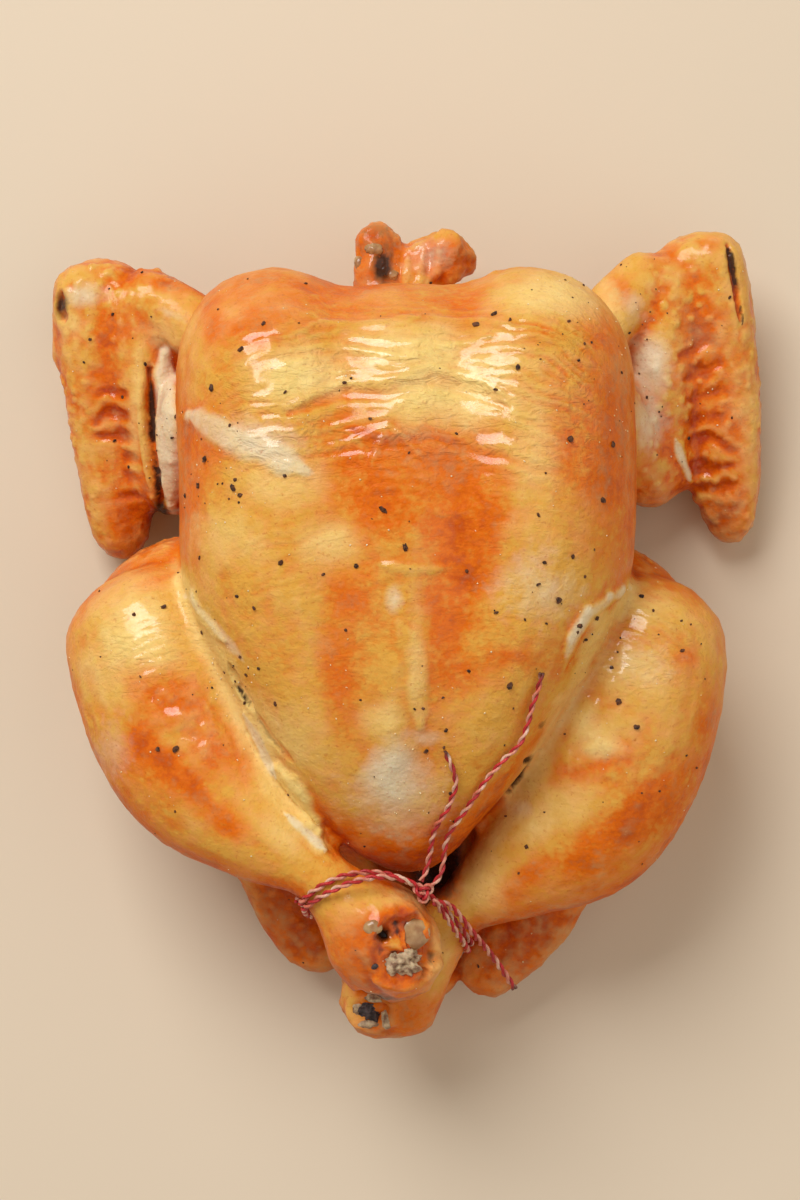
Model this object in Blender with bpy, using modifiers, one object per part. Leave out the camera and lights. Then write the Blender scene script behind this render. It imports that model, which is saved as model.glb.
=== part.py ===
"""A whole roast chicken on its back, its drumsticks crossed and tied at the ankles with baker's twine.

Metres, with +Z up, +Y towards the neck and +X towards the bird's left wing as it lies.
The origin is under the middle of the bird, on the surface that it rests on.
The sizes below are in millimetres, and MM turns them to metres.
"""

import math

import bmesh
import bpy
import numpy as np
from mathutils import Matrix, Vector
from mathutils.bvhtree import BVHTree

MM = 0.001

# The driving dimensions.
BREAST_WIDTH = 130.0
BREAST_HEIGHT = 106.0
BREAST_FRONT = 95.0
TAIL_END = -116.0
BACK_FLAT = 2.5
TWINE_DIAMETER = 2.1
CLEARANCE = 0.35
KNOT = (8.0, -79.0, 70.0)

# How finely the masses are fused, and how many triangles the bird is left with.
TORSO_VOXEL = 2.4
TORSO_SMOOTHING = 42
BIRD_VOXEL = 1.6
BIRD_SMOOTHING = 7
BIRD_TRIANGLES = 7200

SKIN_COLOUR = (0.80, 0.45, 0.14, 1.0)
TWINE_COLOUR = (0.62, 0.07, 0.06, 1.0)


def clear_scene():
    """Starts from nothing."""
    for obj in list(bpy.data.objects):
        bpy.data.objects.remove(obj)


def collection(name):
    made = bpy.data.collections.new(name)
    bpy.context.scene.collection.children.link(made)
    return made


def surface(name, colour, roughness):
    """A plain material: the part's colour, roughness and no metal."""
    made = bpy.data.materials.new(name)
    made.use_nodes = True
    shader = made.node_tree.nodes["Principled BSDF"]
    shader.inputs["Base Color"].default_value = colour
    shader.inputs["Roughness"].default_value = roughness
    shader.inputs["Metallic"].default_value = 0.0
    return made


def smooth_line(points, count):
    """Count rows read evenly from a Catmull-Rom curve through the given rows of numbers."""
    points = np.asarray(points, float)
    ends = [2 * points[0] - points[1]], [2 * points[-1] - points[-2]]
    points = np.concatenate([ends[0], points, ends[1]])
    fine = []
    for p0, p1, p2, p3 in zip(points, points[1:], points[2:], points[3:]):
        for t in np.linspace(0, 1, 24, endpoint=False):
            bend = 2 * p0 - 5 * p1 + 4 * p2 - p3
            twist = 3 * p1 - p0 - 3 * p2 + p3
            fine.append(p1 + 0.5 * ((p2 - p0) * t + bend * t**2 + twist * t**3))
    fine = np.array(fine + [points[-2]])
    steps = np.linalg.norm(np.diff(fine[:, :3], axis=0), axis=1)
    along = np.concatenate([[0], np.cumsum(steps)])
    wanted = np.linspace(0, along[-1], count)
    return np.stack([np.interp(wanted, along, column) for column in fine.T], axis=1)


def add_mass(bm, stations, round_share=0.25, lean=0.0, fullness=2.0, rings=44, spokes=28):
    """Adds one muscle or bone: a UV sphere drawn out along a line of stations.

    A station is (x, y, z, half width, half height). The two ends are rounded off over round_share
    of the length, lean rolls the section in degrees, and a fullness over 2 makes it boxier.
    """
    line = smooth_line(stations, rings + 1)
    tangents = np.gradient(line[:, :3], axis=0)
    verts = bmesh.ops.create_uvsphere(bm, u_segments=spokes, v_segments=rings, radius=1.0)["verts"]
    for vert in verts:
        share = math.acos(max(-1.0, min(1.0, -vert.co.z))) / math.pi
        ring = round(share * rings)
        turn = math.atan2(vert.co.y, vert.co.x) + math.radians(lean)
        x, y, z, half_width, half_height = line[ring]
        forward = Vector(tangents[ring]).normalized()
        side = forward.cross(Vector((0, 0, 1))).normalized()
        up = side.cross(forward)
        reach = min(share, 1 - share) / round_share
        end = math.sqrt(max(0.0, 1 - (1 - reach) ** 2)) if reach < 1 else 1.0
        across, rise = math.cos(turn), math.sin(turn)
        swell = (abs(across) ** fullness + abs(rise) ** fullness) ** (-1 / fullness)
        leaned = math.radians(-lean)
        across, rise = swell * across * half_width * end, swell * rise * half_height * end
        offset_side = across * math.cos(leaned) - rise * math.sin(leaned)
        offset_up = across * math.sin(leaned) + rise * math.cos(leaned)
        vert.co = (Vector((x, y, z)) + side * offset_side + up * offset_up) * MM
    return verts


def add_torso(bm):
    """Two breast muscles either side of the keel bone, over a rib cage that narrows to the pelvis."""
    half = BREAST_WIDTH / 2
    top = BREAST_HEIGHT
    uneven = {-1: (2.5, 0.5, -3.4, -2.2, 0, 0, 0), 1: (0.5, 1.5, 1.4, 1.0, 0, 0, 0)}
    for side in (-1, 1):
        muscle = [
            (0.50 * half, BREAST_FRONT, 0.55 * top, 0.40 * half, 0.25 * top),
            (0.52 * half, 0.76 * BREAST_FRONT, 0.57 * top, 0.46 * half, 0.38 * top),
            (0.49 * half, 0.42 * BREAST_FRONT, 0.59 * top, 0.52 * half, 0.41 * top),
            (0.44 * half, 0.07 * BREAST_FRONT, 0.59 * top, 0.53 * half, 0.40 * top),
            (0.31 * half, -0.27 * BREAST_FRONT, 0.59 * top, 0.39 * half, 0.34 * top),
            (0.16 * half, -0.55 * BREAST_FRONT, 0.57 * top, 0.28 * half, 0.25 * top),
            (0.05 * half + side * 5, -0.82 * BREAST_FRONT, 0.55 * top, 0.15 * half, 0.13 * top),
        ]
        stations = [
            (side * (x + 0.5 * more), y, z, wide + 0.5 * more, high)
            for (x, y, z, wide, high), more in zip(muscle, uneven[side])
        ]
        add_mass(bm, stations, round_share=0.18)
    add_mass(
        bm,
        [
            (0, 0.95 * BREAST_FRONT, 0.55 * top, 0.42 * half, 0.24 * top),
            (0, 0.74 * BREAST_FRONT, 0.57 * top, 0.62 * half, 0.355 * top),
            (0, 0.42 * BREAST_FRONT, 0.59 * top, 0.76 * half, 0.405 * top),
            (0, 0.05 * BREAST_FRONT, 0.59 * top, 0.74 * half, 0.405 * top),
            (0, -0.27 * BREAST_FRONT, 0.58 * top, 0.50 * half, 0.355 * top),
            (0, -0.58 * BREAST_FRONT, 0.55 * top, 0.24 * half, 0.27 * top),
        ],
        round_share=0.18,
    )
    add_mass(
        bm,
        [
            (0, 0.94 * BREAST_FRONT, 0.36 * top, 0.62 * half, 0.25 * top),
            (0, 0.63 * BREAST_FRONT, 0.39 * top, 0.90 * half, 0.38 * top),
            (0, 0.21 * BREAST_FRONT, 0.38 * top, 0.93 * half, 0.39 * top),
            (0, -0.11 * BREAST_FRONT, 0.35 * top, 0.84 * half, 0.35 * top),
            (0, 0.36 * TAIL_END, 0.28 * top, 0.74 * half, 0.28 * top),
            (0, 0.62 * TAIL_END, 0.21 * top, 0.64 * half, 0.21 * top),
            (0, 0.80 * TAIL_END, 0.135 * top, 0.50 * half, 0.13 * top),
            (0, 0.97 * TAIL_END, 0.11 * top, 0.30 * half, 0.085 * top),
        ],
        round_share=0.14,
        fullness=2.3,
    )
    add_mass(
        bm,
        [
            (0, 0.16 * BREAST_FRONT, 0.66 * top, 7, 0.35 * top),
            (-1, -0.21 * BREAST_FRONT, 0.63 * top, 7, 0.345 * top),
            (-2, -0.52 * BREAST_FRONT, 0.57 * top, 9, 0.265 * top),
            (6, -0.83 * BREAST_FRONT, 0.54 * top, 10, 0.12 * top),
        ],
        round_share=0.16,
    )


def add_legs(bm):
    """Each leg is a thigh that lies low beside the pelvis and a drumstick back to its ankle knob.

    The leg on the -X side lies over the other one, so its ankle is the higher.
    """
    add_mass(bm, [(-30, -56, 22, 22, 21), (-48, -32, 29, 29, 29), (-63, -6, 37, 28, 31), (-62, 18, 44, 16, 22)], 0.3)
    add_mass(bm, [(32, -58, 22, 22, 21), (49, -36, 29, 29, 29), (61, -12, 36, 27, 31), (60, 16, 44, 16, 22)], 0.3)
    add_mass(
        bm,
        [
            (-77, 9, 42, 21, 24),
            (-68, -16, 47, 27, 29),
            (-56, -46, 56, 25.5, 24.5),
            (-39, -64, 65, 16, 16),
            (-24, -75, 70, 8.8, 9),
            (-17, -82, 71, 9.5, 9),
            (-8, -91, 69, 15, 13.5),
            (-1, -101, 64, 15, 12.5),
            (6, -111, 57, 9, 8),
        ],
        round_share=0.1,
    )
    add_mass(
        bm,
        [
            (72, 8, 42, 20, 24),
            (66, -25, 46, 27, 29),
            (52, -59, 47, 27, 24.5),
            (33, -77, 47, 16, 16),
            (18, -88, 45, 8.6, 8.6),
            (9, -99, 42, 9.5, 9),
            (1, -109, 40, 14, 12.5),
            (-5, -118, 38, 15.5, 11.5),
            (-9, -127, 36, 10, 8),
        ],
        round_share=0.1,
    )
    add_mass(bm, [(-4, -91, 76, 4.5, 4.5), (1, -96, 77, 4.6, 4.6), (3, -101, 73, 4, 4)], 0.35)
    add_mass(bm, [(-6, -112, 44, 4.5, 4.5), (-9, -117, 45, 4.6, 4.4), (-11, -121, 42, 4, 4)], 0.35)


def add_wing(bm, side, wrist, tip, elbow, spread, drop):
    """A wing folded in three beside the breast: upper arm, forearm, and the hand laid back along it.

    wrist, tip and elbow are (x, y, z). spread is how far out the hand's middle bows, and drop is
    how far the skin between shoulder and wrist hangs behind them.
    """
    wrist, tip, elbow = Vector(wrist), Vector(tip), Vector(elbow)
    shoulder = Vector((side * 50, 62, 42))
    bow = Vector((side * spread, 0, 2))

    def between(a, b, share, off=Vector()):
        return tuple(a.lerp(b, share) + off)

    hand = [
        (*wrist, 13, 9),
        (*between(wrist, tip, 0.25, 0.7 * bow), 13.6, 10.5),
        (*between(wrist, tip, 0.5, bow), 12.8, 9.5),
        (*between(wrist, tip, 0.75, 0.8 * bow), 10.8, 8.5),
        (*between(wrist, tip, 0.9, 0.4 * bow), 8.6, 7),
        (*tip, 5.5, 4.5),
    ]
    add_mass(bm, hand, round_share=0.1, lean=side * 12, fullness=2.6)
    inner_wrist = wrist + Vector((-side * 7, -6, -1))
    forearm = [
        (*elbow, 8.5, 8),
        (*between(elbow, inner_wrist, 0.3, Vector((-side * 4, 0, 3))), 10.5, 11),
        (*between(elbow, inner_wrist, 0.65, Vector((-side * 3, 0, 3))), 11, 12),
        (*inner_wrist, 12, 10),
    ]
    add_mass(bm, forearm, round_share=0.12)
    upper_arm = [
        (*shoulder, 14, 18),
        (*between(shoulder, elbow, 0.5, Vector((0, 0, -3))), 13, 14),
        (*elbow, 9, 8),
    ]
    add_mass(bm, upper_arm, round_share=0.2)
    web_end = wrist + Vector((-side * 9, -9, 0))
    web = [
        (side * 40, 68 - drop, 42, 12, 16),
        (*between(Vector((side * 44, 74 - 1.3 * drop, 42)), web_end, 0.5), 9.5, 10),
        (*web_end, 9, 7.5),
    ]
    add_mass(bm, web, round_share=0.15)
    thumb_root = wrist + Vector((side * 8.5, -9, -1))
    thumb_tip = thumb_root + Vector((side * 3, -24, -5))
    add_mass(bm, [(*thumb_root, 4, 4.5), (*between(thumb_root, thumb_tip, 0.5), 3.6, 4), (*thumb_tip, 2.4, 2.6)], 0.2)


def add_neck(bm):
    """The crisp end of the neck skin, with the stub of the neck beside it."""
    add_mass(bm, [(-7, 80, 30, 8, 9), (-7, 94, 31, 6.5, 7), (-7, 104, 30, 6.6, 6), (-8, 111, 28, 5, 4.5)], 0.18)
    add_mass(bm, [(4, 80, 27, 9, 10), (5, 95, 28, 8, 7.5), (12, 101, 27, 7.5, 6.5), (23, 98, 24, 5.5, 5)], 0.2)
    add_mass(bm, [(13, 92, 28, 5, 5), (14, 102, 31, 5, 4.5), (14, 109, 32, 3.5, 3.5)], 0.3)


def add_tail(bm):
    """The skin round the vent, spread to both sides below the ankles, with the tail between."""
    left = [(-40, -64, 24, 14, 10), (-34, -84, 21, 12, 8), (-28, -98, 20, 10, 6), (-18, -109, 20, 7, 4)]
    right = [(46, -70, 24, 15, 10), (42, -88, 21, 13, 8), (31, -104, 20, 10, 6), (19, -115, 20, 7, 4)]
    stub = [(2, -96, 13, 14, 8), (6, -108, 14, 12, 6), (13, -118, 16, 7, 4)]
    for flap in (left, right, stub):
        add_mass(bm, flap, round_share=0.16, fullness=2.4)


def mesh_object(name, build, *home):
    """An object from a function that fills a bmesh."""
    bm = bmesh.new()
    for step in build:
        step(bm)
    bmesh.ops.recalc_face_normals(bm, faces=bm.faces)
    if bm.calc_volume(signed=True) < 0:
        bmesh.ops.reverse_faces(bm, faces=bm.faces)
    mesh = bpy.data.meshes.new(name)
    bm.to_mesh(mesh)
    bm.free()
    obj = bpy.data.objects.new(name, mesh)
    for place in home:
        place.objects.link(obj)
    return obj


def fuse(obj, voxel, smoothing):
    """Makes one skin of masses that overlap, and rounds the creases between them."""
    remesh = obj.modifiers.new("fuse", "REMESH")
    remesh.mode = "VOXEL"
    remesh.voxel_size = voxel * MM
    smooth = obj.modifiers.new("settle", "SMOOTH")
    smooth.factor = 0.5
    smooth.iterations = smoothing


def applied(obj):
    """The object's mesh as its modifiers leave it, as a new mesh."""
    graph = bpy.context.evaluated_depsgraph_get()
    return bpy.data.meshes.new_from_object(obj.evaluated_get(graph))


def cavity_cutter(home):
    """The body cavity as far as its mouth shows, under the breast's point."""
    hollow = [(14, -100, 44, 12, 10), (11, -84, 46, 14, 12), (5, -64, 46, 16, 13), (0, -50, 46, 12, 11)]
    cutter = mesh_object("cavity_cutter", [lambda bm: add_mass(bm, hollow, round_share=0.2)], home)
    cutter.hide_render = True
    cutter.display_type = "WIRE"
    return cutter


def make_bird(parts, helpers):
    """Torso first, fused and softened, then everything else fused on to it and cut flat below."""
    torso = mesh_object("torso_form", [add_torso], helpers)
    torso.hide_render = True
    fuse(torso, TORSO_VOXEL, TORSO_SMOOTHING)
    hollow = torso.modifiers.new("cavity", "BOOLEAN")
    hollow.operation = "DIFFERENCE"
    hollow.object = cavity_cutter(helpers)
    bpy.context.view_layer.update()
    body = applied(torso)

    def add_wings(bm):
        add_wing(bm, -1, wrist=(-89, 100, 30), tip=(-82, 11, 10), elbow=(-72, 27, 16), spread=0, drop=3)
        add_wing(bm, 1, wrist=(86, 108, 31), tip=(99, 16, 10), elbow=(80, 30, 16), spread=1, drop=8)

    def add_body(bm):
        bm.from_mesh(body)

    bird = mesh_object("chicken", [add_legs, add_wings, add_neck, add_tail, add_body], parts)
    fuse(bird, BIRD_VOXEL, BIRD_SMOOTHING)
    bpy.context.view_layer.update()
    dense = applied(bird)
    dense.calc_loop_triangles()
    thin = bird.modifiers.new("thin", "DECIMATE")
    thin.ratio = BIRD_TRIANGLES / len(dense.loop_triangles)
    cut_flat(bird, helpers)
    bpy.context.view_layer.update()
    bird.data = applied(bird)
    bird.modifiers.clear()
    return bird


def cut_flat(bird, helpers):
    """The bird's back lies flat: all below the rest plane is cut away."""
    size = 400 * MM
    bm = bmesh.new()
    bmesh.ops.create_cube(bm, size=size)
    bmesh.ops.translate(bm, verts=bm.verts, vec=(0, 0, BACK_FLAT * MM - size / 2))
    mesh = bpy.data.meshes.new("board_cutter")
    bm.to_mesh(mesh)
    bm.free()
    cutter = bpy.data.objects.new("board_cutter", mesh)
    helpers.objects.link(cutter)
    cutter.hide_render = True
    cutter.display_type = "WIRE"
    flat = bird.modifiers.new("flat_back", "BOOLEAN")
    flat.operation = "DIFFERENCE"
    flat.object = cutter


def skin_of(bird):
    """The bird's skin as a tree that can be asked for its nearest point."""
    bm = bmesh.new()
    bm.from_mesh(bird.data)
    tree = BVHTree.FromBMesh(bm)
    bm.free()
    return tree


def keep_off(point, skin, distance):
    """The point, moved out along the skin's normal until it is the given distance off the skin."""
    nearest, normal, _, gap = skin.find_nearest(point)
    outside = (point - nearest).dot(normal) > 0
    if outside and gap >= distance:
        return point
    out = (point - nearest).normalized() if outside and gap > 0.0002 else normal
    return nearest + out * distance


def pull_tight(route, skin, count=72, rounds=260):
    """A closed line of points, drawn tight round the skin as twine is."""
    closed = route + route[:1]
    line = smooth_line([(*point,) for point in closed], count + 1)[:-1] * MM
    points = [Vector(row) for row in line]
    distance = (TWINE_DIAMETER / 2 + CLEARANCE) * MM
    for _ in range(rounds):
        before = points[-1:] + points[:-1]
        after = points[1:] + points[:1]
        points = [p + 0.4 * ((a + b) / 2 - p) for p, a, b in zip(points, before, after)]
        points = [keep_off(p, skin, distance) for p in points]
    return points


def lay_down(route, skin, count):
    """An open line of points that falls on the skin from above, and rests its own radius off it.

    A route point is (x, y, z), with z as low as the line may fall.
    """
    line = smooth_line(route, count) * MM
    distance = (TWINE_DIAMETER / 2 + CLEARANCE) * MM
    points = []
    for row in line:
        hit = skin.ray_cast(Vector((row[0], row[1], 0.3)), Vector((0, 0, -1)))[0]
        floor = hit.z + distance if hit else 0.0
        points.append(Vector((row[0], row[1], max(row[2], floor))))
    for _ in range(30):
        middle = [p + 0.3 * ((a + b) / 2 - p) for a, p, b in zip(points, points[1:], points[2:])]
        flat = [Vector((p.x, p.y, m.z)) for p, m in zip(points[1:], middle)]
        points = [points[0]] + flat + [points[-1]]
        points = [points[0]] + [keep_off(p, skin, distance) for p in points[1:]]
    return points


def twine(name, points, home, closed=False):
    """A length of twine: a round tube along the points, with its ends closed."""
    curve = bpy.data.curves.new(name, "CURVE")
    curve.dimensions = "3D"
    curve.bevel_depth = TWINE_DIAMETER / 2 * MM
    curve.bevel_resolution = 2
    curve.use_fill_caps = not closed
    spline = curve.splines.new("POLY")
    spline.points.add(len(points) - 1)
    for made, point in zip(spline.points, points):
        made.co = (*point, 1.0)
    spline.use_cyclic_u = closed
    obj = bpy.data.objects.new(name, curve)
    home.objects.link(obj)
    curve.materials.append(surface(name + "_cotton", TWINE_COLOUR, 0.8))
    return obj


def knot_body(bm, middle):
    """The knot: the twine's own turns drawn so tight that they make one small lump."""
    reach = Vector((1.0, -1.0, -0.25)) * TWINE_DIAMETER
    thick = 0.8 * TWINE_DIAMETER
    ends = [(*(middle - reach), thick, thick), (*(middle + reach), thick, thick)]
    add_mass(bm, ends, round_share=0.5, rings=12, spokes=12)


def add_twine(skin, parts):
    """One turn of twine pulled tight over both ankles, its knot, and the three ends left long."""
    round_both_ankles = [
        (-30, -84, 66),
        (-24, -76, 84),
        (-12, -70, 82),
        (3, -74, 76),
        (12, -84, 66),
        (18, -94, 58),
        (23, -101, 44),
        (12, -98, 33),
        (-6, -92, 36),
        (-22, -88, 48),
    ]
    loop = pull_tight(round_both_ankles, skin)
    twine("twine_loop", loop, parts, closed=True)
    seat = min(loop, key=lambda p: (p - Vector(KNOT) * MM).length)
    middle = seat / MM + Vector((0, 0, 1.5 * TWINE_DIAMETER + 2 * CLEARANCE))
    knot = mesh_object("twine_knot", [lambda bm: knot_body(bm, middle)], parts)
    knot.data.materials.append(surface("twine_knot_cotton", TWINE_COLOUR, 0.8))
    x, y, z = middle
    up_the_breast = [(x + 1.8, y + 1.3, z), (x + 5, y + 5.5, z - 0.5), (13, -64.5, 76), (16.6, -58.6, 76)]
    up_the_breast += [(21.5, -50.8, 76), (26.4, -44.4, 76), (32.4, -38.2, 76), (35.5, -28.4, 76), (37.9, -19.5, 76)]
    beside_it = [(x - 0.6, y + 3.0, z), (x + 1.2, y + 7.5, z), (9.3, -63, 76), (13.2, -56, 76), (15, -48.6, 76)]
    beside_it += [(12.2, -40.8, 76)]
    past_the_ankle = [(x + 2.9, y - 2.9, z - 0.6), (14.4, -86, 64), (20.8, -94.6, 55), (26, -101.6, 45)]
    past_the_ankle += [(30, -107.5, 40), (33.2, -112.7, 36)]
    twine("twine_tail_long", lay_down(up_the_breast, skin, 32), parts)
    twine("twine_tail_short", lay_down(beside_it, skin, 18), parts)
    twine("twine_tail_low", lay_down(past_the_ankle, skin, 22), parts)


def centre(parts):
    """Moves everything so that the origin is under the middle of the bird."""
    bird = bpy.data.objects["chicken"]
    corners = np.array([vert.co for vert in bird.data.vertices])
    low, high = corners.min(axis=0), corners.max(axis=0)
    shift = Matrix.Translation((-(low[0] + high[0]) / 2, -(low[1] + high[1]) / 2, -low[2]))
    for obj in parts.objects:
        obj.data.transform(shift)


def main():
    clear_scene()
    parts = collection("roast_chicken")
    helpers = collection("forms_and_cutters")
    bird = make_bird(parts, helpers)
    bird.data.materials.append(surface("roast_skin", SKIN_COLOUR, 0.35))
    add_twine(skin_of(bird), parts)
    centre(parts)


main()
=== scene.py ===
import math

import bmesh
import bpy
import numpy as np
from mathutils import Matrix, Vector, noise
from mathutils.bvhtree import BVHTree


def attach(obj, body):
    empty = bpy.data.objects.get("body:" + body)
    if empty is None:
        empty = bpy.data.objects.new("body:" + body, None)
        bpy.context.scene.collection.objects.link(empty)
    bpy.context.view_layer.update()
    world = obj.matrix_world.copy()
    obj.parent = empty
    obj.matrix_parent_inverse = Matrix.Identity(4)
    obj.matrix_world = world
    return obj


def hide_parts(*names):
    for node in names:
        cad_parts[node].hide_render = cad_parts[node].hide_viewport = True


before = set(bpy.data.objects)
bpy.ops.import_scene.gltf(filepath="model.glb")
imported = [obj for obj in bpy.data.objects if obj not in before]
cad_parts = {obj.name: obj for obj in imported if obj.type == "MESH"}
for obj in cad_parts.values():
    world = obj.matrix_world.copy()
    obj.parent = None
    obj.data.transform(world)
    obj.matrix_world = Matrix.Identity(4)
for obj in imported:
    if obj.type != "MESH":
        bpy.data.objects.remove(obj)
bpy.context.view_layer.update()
MM = 0.001

# ---- Where it is looked at from ----
# The bird is looked at from straight above its breast, from a little under a metre,
# with the neck at the top.
lens_mm = 84.2
eye = (-0.0024, 0.0080, 0.8475)

camera = bpy.data.objects.new("camera", bpy.data.cameras.new("camera"))
camera.data.lens = lens_mm
camera.data.sensor_width = 36
camera.location = eye
bpy.context.scene.collection.objects.link(camera)
bpy.context.scene.camera = camera

# ---- The bird's form ----
# One skin of the whole bird, with the breast, legs and wings as they lie, made fine enough to
# carry wrinkles. Roasting has shrunk it tight over the meat, so it's smooth between them.
skin_grid_mm = 0.85
skin_triangles = 190000


def new_piece(name, mesh):
    piece = bpy.data.objects.new(name, mesh)
    bpy.context.scene.collection.objects.link(piece)
    return piece


def settled(piece):
    """The piece's mesh as its modifiers leave it."""
    graph = bpy.context.evaluated_depsgraph_get()
    mesh = bpy.data.meshes.new_from_object(piece.evaluated_get(graph))
    piece.modifiers.clear()
    return mesh


def points_of(mesh):
    """The mesh's points in millimetres."""
    flat = np.empty(len(mesh.vertices) * 3)
    mesh.vertices.foreach_get("co", flat)
    return flat.reshape(-1, 3) / MM


def move_points(mesh, points):
    mesh.vertices.foreach_set("co", (points * MM).ravel())
    mesh.update()


def normals_of(mesh):
    flat = np.empty(len(mesh.vertices) * 3)
    mesh.vertex_normals.foreach_get("vector", flat)
    return flat.reshape(-1, 3)


def edges_of(mesh):
    flat = np.empty(len(mesh.edges) * 2, np.int32)
    mesh.edges.foreach_get("vertices", flat)
    return flat.reshape(-1, 2)


def middle_of_neighbours(points, edges):
    """For each point, the middle of the points it shares an edge with."""
    count = np.bincount(edges.ravel(), minlength=len(points))[:, None]
    total = np.empty_like(points)
    for axis in range(3):
        near = np.bincount(edges[:, 0], points[edges[:, 1], axis], len(points))
        far = np.bincount(edges[:, 1], points[edges[:, 0], axis], len(points))
        total[:, axis] = near + far
    return total / count


def evened(points, edges, rounds):
    """The points with their small facets smoothed away, and with no loss of bulk."""
    for share in (0.5, -0.53) * rounds:
        points = points + share * (middle_of_neighbours(points, edges) - points)
    return points


def mottle(points, size, seed=0):
    """Soft random lumps from -1 to 1, with the given size in millimetres."""
    spot = points / size + 37.7 * (seed + 1)
    cell = np.floor(spot).astype(np.int64)
    blend = spot - cell
    blend = blend * blend * (3 - 2 * blend)
    total = np.zeros(len(points))
    for corner in np.ndindex(2, 2, 2):
        at = cell + np.array(corner)
        mixed = at[:, 0] * 73856093 ^ at[:, 1] * 19349663 ^ at[:, 2] * 83492791 ^ seed * 2654435
        mixed = (mixed ^ (mixed >> 13)) * 1274126177 & 0xFFFFFFFF
        mixed = (mixed ^ (mixed >> 15)) & 0xFFFF
        share = np.prod(np.where(np.array(corner), blend, 1 - blend), axis=1)
        total += share * (mixed / 32767.5 - 1)
    return total


def layered(points, size, layers=3, seed=0):
    """Lumps with finer and fainter lumps on them."""
    total = sum(mottle(points, size / 2**k, seed + k) / 1.8**k for k in range(layers))
    return total / 1.4


def ease(low, high, value):
    share = np.clip((value - low) / (high - low), 0, 1)
    return share * share * (3 - 2 * share)


def patch(points, x, y, z, across, along, turn, strength, ragged):
    """How far each point lies in a soft-edged oval patch of skin, from 0 to strength."""
    dx, dy = points[:, 0] - x, points[:, 1] - y
    cos, sin = math.cos(math.radians(turn)), math.sin(math.radians(turn))
    u, v = (dx * cos + dy * sin) / across, (dy * cos - dx * sin) / along
    far = np.sqrt(u * u + v * v + ((points[:, 2] - z) / 22) ** 2)
    return strength * (1 - ease(0.1, 1.6, far + ragged))


def near_line(points, line):
    """Each point's distance to a line on the skin, and how far along the line it lies, in mm."""
    line = np.array(line, float)
    best = np.full(len(points), 1e9)
    along = np.zeros(len(points))
    done = 0.0
    for a, b in zip(line, line[1:]):
        step = b - a
        length = np.linalg.norm(step)
        share = np.clip((points - a) @ step / length**2, 0, 1)
        far = np.linalg.norm((points - a - share[:, None] * step) * (1, 1, 0.15), axis=1)
        along = np.where(far < best, done + share * length, along)
        best = np.minimum(best, far)
        done += length
    return best, along


def stroke(points, width, strength, line, ragged):
    """How far each point lies in a soft band of the given width along a line."""
    far, along = near_line(points, line)
    total = np.sum(np.linalg.norm(np.diff(np.array(line, float), axis=0), axis=1))
    ends = ease(0, 0.18 * total, along) * ease(0, 0.18 * total, total - along)
    far = far / (0.5 * width) / (0.45 + 0.55 * ends) + ragged
    return strength * (1 - ease(0.5, 1.5, far))


skin = new_piece("skin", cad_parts["chicken"].data.copy())
remesh = skin.modifiers.new("skin grid", "REMESH")
remesh.mode = "VOXEL"
remesh.voxel_size = skin_grid_mm * MM
skin.data = settled(skin)
form = evened(points_of(skin.data), edges_of(skin.data), 26)
move_points(skin.data, form)
out = normals_of(skin.data)

# ---- Wrinkles, folds and bumps in the skin ----
# Heat draws the skin into fine cross wrinkles over the breast and knees. Quill follicles
# stand as bumps on the wings, and a few folds stay where the skin was pulled over the legs.


def on_wing_and_tail(points):
    """How far each point lies on a wing, and how far on the tail, from 0 to 1."""
    x, y, z = points.T
    on_wing = ease(64, 70, np.abs(x)) * ease(14, 24, y) * (1 - ease(50, 58, z))
    return on_wing, (1 - ease(-74, -68, y)) * (1 - ease(36, 42, z))


rise = np.zeros(len(form))
x, y, z = form.T
line_noise = layered(form, 5, 2, seed=9)
on_wing, on_tail = on_wing_and_tail(form)
on_neck = ease(97, 101, y) * (1 - ease(24, 28, np.abs(x)))

# Low lumps from the muscle under it, and crumpled skin on the wings, neck and tail.
rise += 0.5 * layered(form, 22, 3, seed=1) + 0.14 * layered(form, 4.5, 2, seed=2)
rise += 0.42 * layered(form, 5.5, 3, seed=4) * np.maximum(on_wing, on_tail)
rise += 1.2 * layered(form, 4.5, 3, seed=6) * on_neck

# Blistered skin on the legs where it browned most.
blistered = [(-60, -26, 76, 16, 9, -35, 1.0), (56, -18, 72, 9, 8, 0, 0.6), (52, -36, 70, 13, 9, 20, 0.8)]
for place in blistered:
    rise += layered(form, 3.8, 3, seed=7) * patch(form, *place, 0.3 * line_noise)

# Puckered skin on the drawn-up end of the left leg.
puckered = patch(form, -3, -86, 74, 15, 15, 0, 1.0, 0.2 * line_noise)
rise += 0.5 * layered(form, 3.4, 3, seed=8) * puckered

# Cross wrinkles on the breast, each a few centimetres long.
wander = 4.6 * layered(form * (0.6, 1, 1), 17, 4, seed=3)
sag = 0.004 * (x + 2) ** 2
upper_breast = (0.35 * ease(-34, 0, y) + 0.65 * ease(34, 52, y)) * (1 - ease(80, 96, y))
on_breast = upper_breast * ease(74, 88, z) * (1 - ease(38, 58, np.abs(x)))
for spacing, height, seed in ((5.2, 0.44, 11), (3.2, 0.36, 12), (2.4, 0.3, 13)):
    ridge = 0.5 + 0.5 * np.cos(2 * math.pi * (y + sag + wander) / spacing)
    broken = ease(-0.15, 0.45, mottle(form * (0.4, 1.5, 1), 8, seed))
    rise += height * (ridge**1.5 - 0.4) * broken * on_breast

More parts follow.
